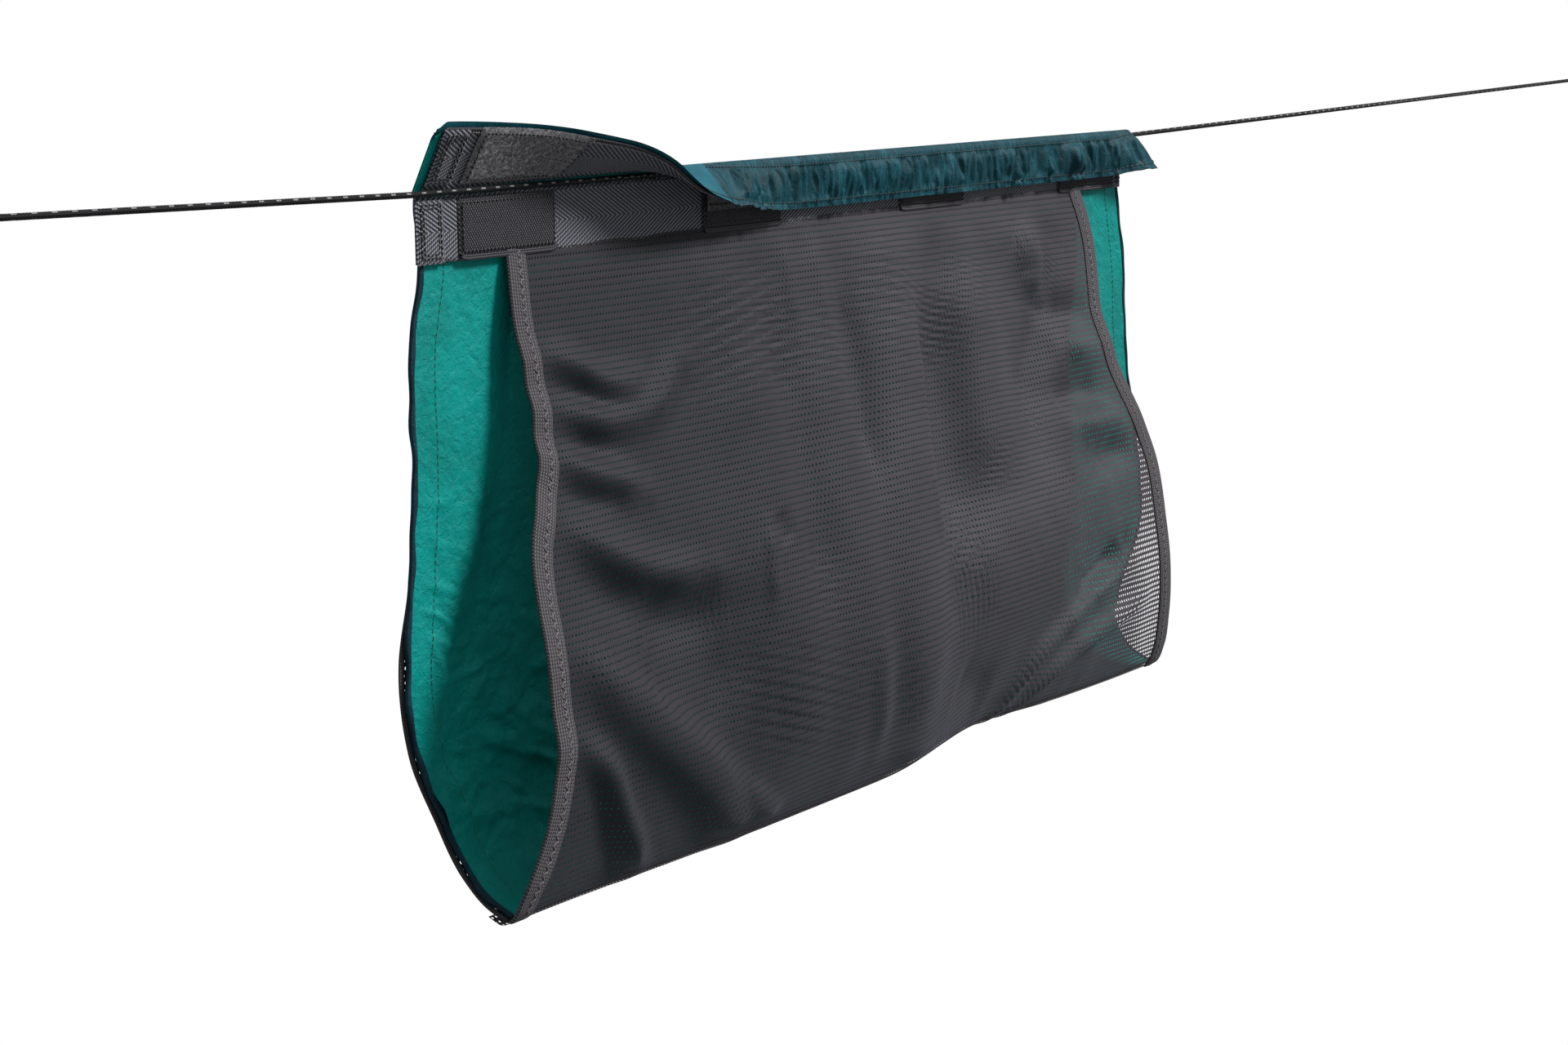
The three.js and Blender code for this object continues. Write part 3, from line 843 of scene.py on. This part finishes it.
FOLDS = (
    (((-95, -40), (-85, -110), (-95, -200), (-110, -260)), 36, 6.0),
    (((40, -30), (28, -110), (0, -190), (8, -270)), 26, 5.0),
    (((56, -43), (26, -117), (-5, -188), (10, -274)), 17, 4.4),
    (((-25, -60), (-42, -164), (-50, -249)), 20, 4.6),
    (((-68, -50), (-72, -120), (-84, -210)), 18, -4.6),
    (((80, -60), (62, -130), (48, -200)), 24, -5.5),
    (((118, -50), (104, -110), (96, -170)), 22, 5.0),
    (((-2, -50), (-8, -100), (-22, -150)), 10, -2.6),
    (((-42, -28), (-50, -75)), 5, 1.0),
    (((-18, -28), (-27, -78)), 5, 0.9),
    (((-42, -205), (-30, -268)), 8, 2.0),
    (((33, -130), (26, -185)), 8, 1.8),
    (((-238, -66), (-214, -74), (-198, -82), (-170, -84)), 7, 4.0),
    (((-238, -76), (-215, -84), (-190, -89)), 6, -1.4),
    (((-238, -86), (-216, -94), (-198, -99), (-171, -95), (-141, -78)), 7, 4.4),
    (((-242, -97), (-215, -105), (-185, -100), (-160, -86)), 6, -1.6),
    (((-242, -106), (-215, -118), (-185, -127)), 7, 4.2),
    (((-244, -119), (-221, -126), (-196, -126)), 5, -1.0),
    (((-250, -130), (-226, -145), (-198, -158), (-150, -166)), 8, 3.6),
    (((-254, -148), (-225, -163), (-187, -177), (-135, -182)), 12, -3.0),
    (((-215, -182), (-165, -200), (-140, -226)), 26, -3.5),
    (((-265, -178), (-240, -197), (-211, -220), (-174, -248), (-135, -283)), 12, 7.0),
    (((-268, -211), (-247, -230), (-233, -252), (-209, -281)), 7, 5.0),
    (((-104, -148), (-99, -163)), 7, -1.8),
    (((-112, -152), (-120, -186)), 4, 2.0),
    (((164, -44), (180, -60), (176, -82)), 14, 5.0),
    (((205, -50), (181, -84), (155, -115), (141, -146)), 14, -4.0),
    (((190, -86), (240, -88)), 9, -3.2),
    (((192, -105), (242, -108)), 8, 4.0),
    (((170, -127), (230, -128)), 9, -3.2),
    (((185, -144), (248, -145)), 8, 4.0),
    (((192, -162), (250, -160)), 9, -3.2),
    (((27, -200), (108, -195), (185, -184)), 28, 5.0),
    (((93, -278), (114, -255), (162, -233), (222, -217)), 6, 3.6),
    (((110, -278), (143, -259), (183, -248), (236, -239)), 6, 3.6),
    (((160, -228), (214, -208)), 9, -4.5),
    (((39, -248), (80, -264)), 14, -2.0),
    (((-108, -283), (-146, -258)), 6, 2.0),
)


def add_front():
    rows, cols = 300, 560
    base = surface(FRONT, FRONT_HALF, rows, cols, 0.0, 2.0)
    wave = front_wave(base[..., 0], base[..., 2])
    p = base + normals(base) * wave[..., None]
    front = cloth("mesh_front", p, flat_of(base), MESH)
    on_sling(front, "front_mesh")
    for side, way in (("left", -1), ("right", 1)):
        count = 420
        f = np.linspace(0, 0.952, count)
        yz = at(FRONT, f)
        x = way * (FRONT_HALF[way > 0](-yz[:, 1]) - BIND / 2)
        line = np.stack([x, yz[:, 0], yz[:, 1]], 1)
        tangent = unit(np.gradient(line, axis=0))
        out = unit(np.cross(tangent, np.array([1.0, 0, 0])))
        out = out * np.sign(-out[:, 1:2])
        across = np.cross(out, tangent) * way
        across *= np.sign(across[:, :1]) * way
        wave = front_wave(x, yz[:, 1])
        line = line + out * wave[:, None]
        band = loft(f"edge_tape_{side}", line, across, out, BIND / 2, 0.85, TAPE, 16, 0.45)
        on_sling(band, f"front_binding_{side}")
        inner = line - across * 2.4 + out * 0.95
        outer = line - across * -0.2 + out * 0.95
        starts, ends = zigzag(inner, outer, 2.0)
        row = stitches(f"tape_stitches_{side}", starts, ends, 0.22, GREY_THREAD, 0.1, (way * -0.2, -1, 0))
        on_sling(row)


add_front()

# ---------------------------------------------------------------- rear mesh pocket


def add_rear():
    rows, cols = 130, 260
    top = 0.505
    base = surface(PANEL, PANEL_HALF, rows, cols, -1.7, -0.2, top=top)
    base[..., 0] *= 1 - 0.012 * (1 - step(np.linspace(0, 1, rows), 0, 0.22))[:, None]
    s = np.linspace(-1, 1, cols)[None]
    d = np.linspace(0, 1, rows)[:, None]
    bulge = graded([(0, 6), (0.3, 10), (0.65, 8), (0.88, 2.5), (1, 0)])(d) * (1 - np.abs(s) ** 2.5)
    x, z = base[..., 0], base[..., 2]
    ripple = creases(x, z, 31, 60, 40, 8, 0.9, angle=1.2, spread=2) * (1 - np.abs(s) ** 8) * (1 - d**6)
    lift = panel_wave(x, z) * np.abs(s) ** 5 - bulge - 0.4 + ripple
    p = base + normals(base) * lift[..., None]
    rear = cloth("mesh_rear", p, flat_of(base), REAR)
    on_sling(rear, "rear_mesh_pocket")
    line = p[3, 5:-5]
    tangent = unit(np.gradient(line, axis=0))
    out = np.tile(np.array([0, 1.0, 0]), (cols - 10, 1))
    up = np.cross(tangent, out)
    up *= np.sign(up[:, 2:3])
    for side, edge in (("left", p[:, 0]), ("right", p[:, -1])):
        down = unit(np.gradient(edge, axis=0))
        across = np.tile([1.0, 0, 0], (rows, 1))
        rim = loft(f"pocket_edge_{side}", edge, across, np.cross(down, across), 1.5, 0.5, POCKET_EDGE)
        on_sling(rim)
    hem = loft("pocket_hem", line, up, out, BIND / 2, 0.8, TAPE, 16, 0.45)
    on_sling(hem, "rear_pocket_hem")
    starts, ends = zigzag(line + up * 1.5 + out * 0.9, line - up * 1.5 + out * 0.9, 2.0)
    row = stitches("pocket_hem_stitches", starts, ends, 0.22, GREY_THREAD, 0.1, (0, 1, 0))
    on_sling(row)


add_rear()

# ---------------------------------------------------------------- webbing strip, tabs and patches


def add_strip():
    rows, cols = 26, 760
    x = np.linspace(-295, 295, cols)[None].repeat(rows, 0)
    d = np.linspace(0, 1, rows)[:, None].repeat(cols, 1)
    z = STRIP_TOP - STRIP_WIDTH * d
    y = 2.0 + 0.35 * np.sin(x / 23) * d + 0.25 * np.sin(x / 9 + 2) * d
    p = np.stack([x, y - 0.4, z], -1)
    strip = cloth("strip_under_cord", p, np.stack([x, z], -1), WEB)
    solid = strip.modifiers.new("thickness", "SOLIDIFY")
    solid.thickness, solid.offset = 0.0008, -1
    on_sling(strip, "lower_band")
    for f in (0.04, 0.955):
        row_z = STRIP_TOP - STRIP_WIDTH * f
        xs = np.linspace(-294, 294, 600)
        dd = np.full_like(xs, f)
        ys = 2.0 + 0.35 * np.sin(xs / 23) * dd + 0.25 * np.sin(xs / 9 + 2) * dd - 0.55
        starts, ends = run_stitches(np.stack([xs, ys, np.full_like(xs, row_z)], 1), 2.6)
        name = f"strip_stitches_{'top' if f < 0.5 else 'bottom'}"
        row = stitches(name, starts, ends, 0.22, BLACK_THREAD, 0.12)
        on_sling(row)


def pad(name, x0, x1, z0, z1, y, thick, material, turn=0.0, fuzzy=0.0, seed=0):
    """A patch of hook or loop tape with a rounded edge. turn swings it about the cord's axis."""
    cols, rows = int((x1 - x0) / 0.8) + 2, int((z0 - z1) / 0.8) + 2
    u = np.linspace(x0, x1, cols)[None].repeat(rows, 0)
    v = np.linspace(z0, z1, rows)[:, None].repeat(cols, 1)
    inset = np.minimum(np.minimum(u - x0, x1 - u), np.minimum(z0 - v, v - z1))
    rise = thick * np.sqrt(np.clip(inset / 1.1, 0, 1))
    border = step(inset, 1.2, 3.0)
    rng = np.random.default_rng(seed)
    rise = rise * (0.6 + 0.4 * border) + fuzzy * border * rng.uniform(0, 1, u.shape)
    p = np.stack([u, y - rise, v], -1)
    p = swing(p, turn(u) if callable(turn) else turn)
    return cloth(name, p, np.stack([u, v], -1), material)


def swing(p, turn):
    """Points turned about the cord's axis."""
    c, s = np.cos(turn), np.sin(turn)
    y, z = p[..., 1], p[..., 2]
    return np.stack([p[..., 0], y * c - z * s, y * s + z * c], -1)


def border_stitches(name, x0, x1, z0, z1, y, inset, body, turn=0.0):
    """A row of stitches round a patch, inset from its edge."""
    a, b, c, d = x0 + inset, x1 - inset, z0 - inset, z1 + inset
    line = np.array([[a, y, c], [b, y, c], [b, y, d], [a, y, d], [a, y, c]])
    run = run_of(line)
    even = np.linspace(0, run[-1], 300)
    line = np.stack([np.interp(even, run, line[:, i]) for i in range(3)], 1)
    starts, ends = run_stitches(swing(line, turn(line[:, 0]) if callable(turn) else turn), 2.3)
    row = stitches(name, starts, ends, 0.42, BLACK_THREAD, 0.2)
    join(row, body)


def join(obj, body):
    """Rides on a body. The open flap's pieces get their transform baked into their mesh instead."""
    if body == "flap_left":
        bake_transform(obj)
    else:
        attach(obj, body)


PATCHES = (-239.0, -72.0, 94.0, 255.0)


def add_hooks():
    for i, centre in enumerate(PATCHES, 1):
        x0, x1 = centre - PATCH_HALF, centre + PATCH_HALF
        obj = pad(f"hooks_{i}", x0, x1, -2.8, -25.5, 1.35, 1.0, HOOK, 0, 0.12, 40 + i)
        on_sling(obj, f"hook_patch_{i}")
        border_stitches(f"hook_stitches_{i}", x0, x1, -2.8, -25.5, 0.45, 1.9, "sling")
    for side, x0, x1 in (("left", -295.5, -279), ("right", 287, 295.5)):
        tab = pad(f"strip_tab_{side}", x0, x1, -2.0, -27.4, 1.35, 0.9, WEB)
        on_sling(tab, f"band_end_tab_{side}")
        border_stitches(f"tab_stitches_{side}", x0, x1, -2.0, -27.4, 0.5, 2.4, "sling")
        border_stitches(f"tab_inner_stitches_{side}", x0, x1, -2.0, -27.4, 0.5, 3.8, "sling")


add_strip()
add_hooks()

# ---------------------------------------------------------------- the fold-over flap


TURN = graded([
    (-320, -152), (-280, -151), (-260, -148), (-240, -143), (-220, -134), (-208, -127), (-195, -120),
    (-184, -115), (-172, -108), (-160, -98), (-150, -86), (-140, -75), (-130, -65), (-120, -56),
    (-110, -47), (-100, -38),
    (-90, -29), (-80, -22), (-70, -16), (-58, -10), (-44, -5), (-30, -1.5), (-15, 0), (100, 0), (320, 0),
])


def flap_turn(x):
    """How far the flap is turned back from closed, at each place along the cord."""
    return np.radians(np.minimum(TURN(x), 0)) - 0.5 * step(x, 272, 301)


def flap_reach(x):
    return 29.0 - 8.5 * step(x, -200, -85)


def flap_grid(x0, x1, radius, margin, start):
    """Points of one layer of the flap: round the cord from its back, then straight to its free edge."""
    arc_rows, rows = 10, 28
    cols = int((x1 - x0) / 0.7) + 1
    k = np.r_[np.linspace(-1, 0, arc_rows, endpoint=False), np.linspace(0, 1, rows)]
    k = k[k >= start][:, None]
    x = np.linspace(x0, x1, cols)[None].repeat(len(k), 0)
    k = k.repeat(cols, 1)
    turn, reach = flap_turn(x), flap_reach(x) - margin
    back = math.radians(-16)
    polar = back + (math.pi + turn - back) * (1 + np.minimum(k, 0))
    r = reach * np.maximum(k, 0)
    shut = step(x, -125, -75)
    span = ((-125, 301), (0, 21))
    gather = creases(x, r, 71, 330, 9, 1.15, 1.6, angle=math.pi / 2, spread=0.5, span=span)
    gather += creases(x, r, 72, 60, 12, 4.0, 1.7, angle=math.pi / 2, spread=0.6, span=span)
    pinch = np.clip((r - 0.6) / 2.4, 0, 1) * (0.35 + 0.65 * np.clip(np.abs(r - (reach - 3.1)) / 2.5, 0, 1))
    puff = shut * (gather * pinch + 1.1 * np.sin(np.clip(r / np.maximum(reach - 3, 1), 0, 1) * math.pi))
    wide = 0.6 * np.sin(x / 17) * np.maximum(k, 0) * (1 - shut)
    puff = np.maximum(puff + 0.7 * shut * step(r, 1, 5), -0.25 - 0.3 * step(r, 3.2, 5.5))
    out = radius + (puff + wide if radius > 3 else wide * np.ones_like(x))
    y = out * np.cos(polar) + r * np.sin(turn)
    z = out * np.sin(polar) - r * np.cos(turn)
    flare = 12 * step(x, 283, 301) * np.maximum(k, 0) ** 1.3
    droop = -2.0 * step(x, 285, 301) * np.maximum(k, 0)
    p = np.stack([x + flare, y, z + droop * (radius > 3)], -1)
    corner = 2.6 * (1 - step(x, -295, -288)) * step(np.maximum(k, 0), 0.75, 1)
    p[..., 2] -= corner
    normal = np.stack([np.zeros_like(x), np.cos(polar), np.sin(polar)], -1)
    run = np.where(k < 0, out * (math.pi + turn - polar), 0) - r
    return p, np.stack([x, run], -1), normal, r


def add_flap():
    pieces = (
        ("open", OPEN_START, OPEN_END), ("turn_a", OPEN_END, TURN_MIDDLE),
        ("turn_b", TURN_MIDDLE, TURN_END), ("closed", TURN_END, FLAP_END),
    )
    for part, x0, x1 in pieces:
        low = {"open": 0.0, "turn_a": 0.0, "turn_b": 0.08, "closed": 0.19}[part]
        outside = RUCHED_PAINTED_SHADE if part == "closed" else TEAL
        layers = [("cloth", 3.25, 0.0, -1, outside, "teal"), ("band", 2.1, 2.9, low, WEB, "webbing")]
        if part != "closed":
            layers.append(("lining", 2.75, 2.6, -1, GREEN, "green"))
        for layer, radius, margin, start, material, slot in layers:
            begin = x0 + 4.0 if part == "open" and layer == "band" else x0
            p, flat, normal, r = flap_grid(begin, x1, radius, margin, start)
            obj = cloth(f"flap_{part}_{layer}", p, flat, material)
            follow(obj, part)
            if part in ("turn_a", "open", "closed") and layer != "lining":
                side = {"open": "left", "turn_a": "twist", "closed": "right"}[part]
                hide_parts(f"flap_{side}_{layer}")
            if layer == "cloth":
                seams = (("seam_edge", 3.1),)
                if part == "closed":
                    seams = (("seam_fold", 0.5), *seams)
                for seam, place in seams:
                    row = r[:, 0] if seam == "seam_fold" else r[-1, 0] - r[:, 0]
                    i = int(np.argmin(np.abs(row - place) + (r[:, 0] <= 0) * 9))
                    line = p[i] + normal[i] * 0.3
                    starts, ends = run_stitches(line, 2.4, 0.62)
                    add_row(f"flap_{part}_{seam}", starts, ends, 0.26, TEAL_THREAD, 0.12, part)
            if layer == "band":
                run = np.gradient(p[-1], axis=0)
                down = np.cross(unit(run), normal[-1])
                rim = loft(f"flap_{part}_rim", p[-1], down, normal[-1], 0.9, 0.4, RIM)
                follow(rim, part)
                line = p[-2] - normal[-2] * 0.7
                starts, ends = run_stitches(line, 1.5, 0.45)
                add_row(f"flap_{part}_selvedge", starts, ends, 0.27, PALE_THREAD, 0.1, part)


def add_row(name, starts, ends, radius, material, lift, part):
    row = stitches(name, starts, ends, radius, material, lift)
    follow(row, part)


def follow(obj, part):
    """Bakes the transform of a piece of the flap into its mesh, the same for every part."""
    if part == "open":
        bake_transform(obj)
    elif part == "turn_a":
        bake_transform(obj)
    elif part == "turn_b":
        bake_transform(obj)
    else:
        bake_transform(obj)


add_flap()


def add_loops():
    for i, centre in enumerate(PATCHES, 1):
        is_open = i == 1
        turn = flap_turn if is_open else 0.0
        bottom = -27.6 if is_open else -17.5
        x0, x1 = centre - PATCH_HALF, centre + PATCH_HALF
        top = -1.9 if is_open else -4.0
        obj = pad(f"loops_{i}", x0, x1, top, bottom, -1.55, -0.9, LOOP, turn, -0.6, 60 + i)
        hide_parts(f"loop_patch_{i}")
        body = "flap_left" if is_open else "flap_right"
        join(obj, body)
        border_stitches(f"loop_stitches_{i}", x0, x1, top, bottom, -0.5, 2.4, body, turn)
    tab = pad("flap_tab_left", -291.0, -276.0, -2.0, -26.6, -1.5, -0.8, WEB, flap_turn)
    join(tab, "flap_left")
    border_stitches("flap_tab_stitches", -291.0, -276.0, -2.0, -26.6, -0.6, 2.2, "flap_left", flap_turn)
    border_stitches("flap_tab_inner_stitches", -291.0, -276.0, -2.0, -26.6, -0.6, 3.8, "flap_left", flap_turn)


def add_lips():
    """The smooth lower edge that shows below each hook patch."""
    for i, centre in enumerate(PATCHES, 1):
        x = np.linspace(centre - 30.5, centre + 30.5, 90)
        bend = np.clip((np.abs(x - centre) - 26) / 4.5, 0, 1) ** 2
        line = np.stack([x, np.full_like(x, 0.6), -26.2 + 0.9 * bend], 1)
        side, front = np.tile([0.0, 0, -1], (90, 1)), np.tile([0.0, -1, 0], (90, 1))
        lip = loft(f"hook_lip_{i}", line, side, front, 1.1, 0.35, RIM)
        on_sling(lip)


add_loops()
add_lips()


def add_fold():
    """The inside of the fold that runs along the cord."""
    x, turn = np.meshgrid(np.linspace(-106, 295, 400), np.linspace(0, 2 * math.pi, 25))
    room = 0.55 * step(x, 250, 297) * np.maximum(np.sin(turn), 0) ** 2
    radius = FOLD_RADIUS + 0.05 * np.sin(x / 3.1 + np.sin(turn)) + room
    p = np.stack([x, radius * np.cos(turn), radius * np.sin(turn)], -1)
    fold = cloth("cord_fold", p, np.stack([x, -FOLD_RADIUS * turn], -1), NYLON_IN_PAINTED_SHADE)
    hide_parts("ridge_fold")
    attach(fold, "channel")


add_fold()
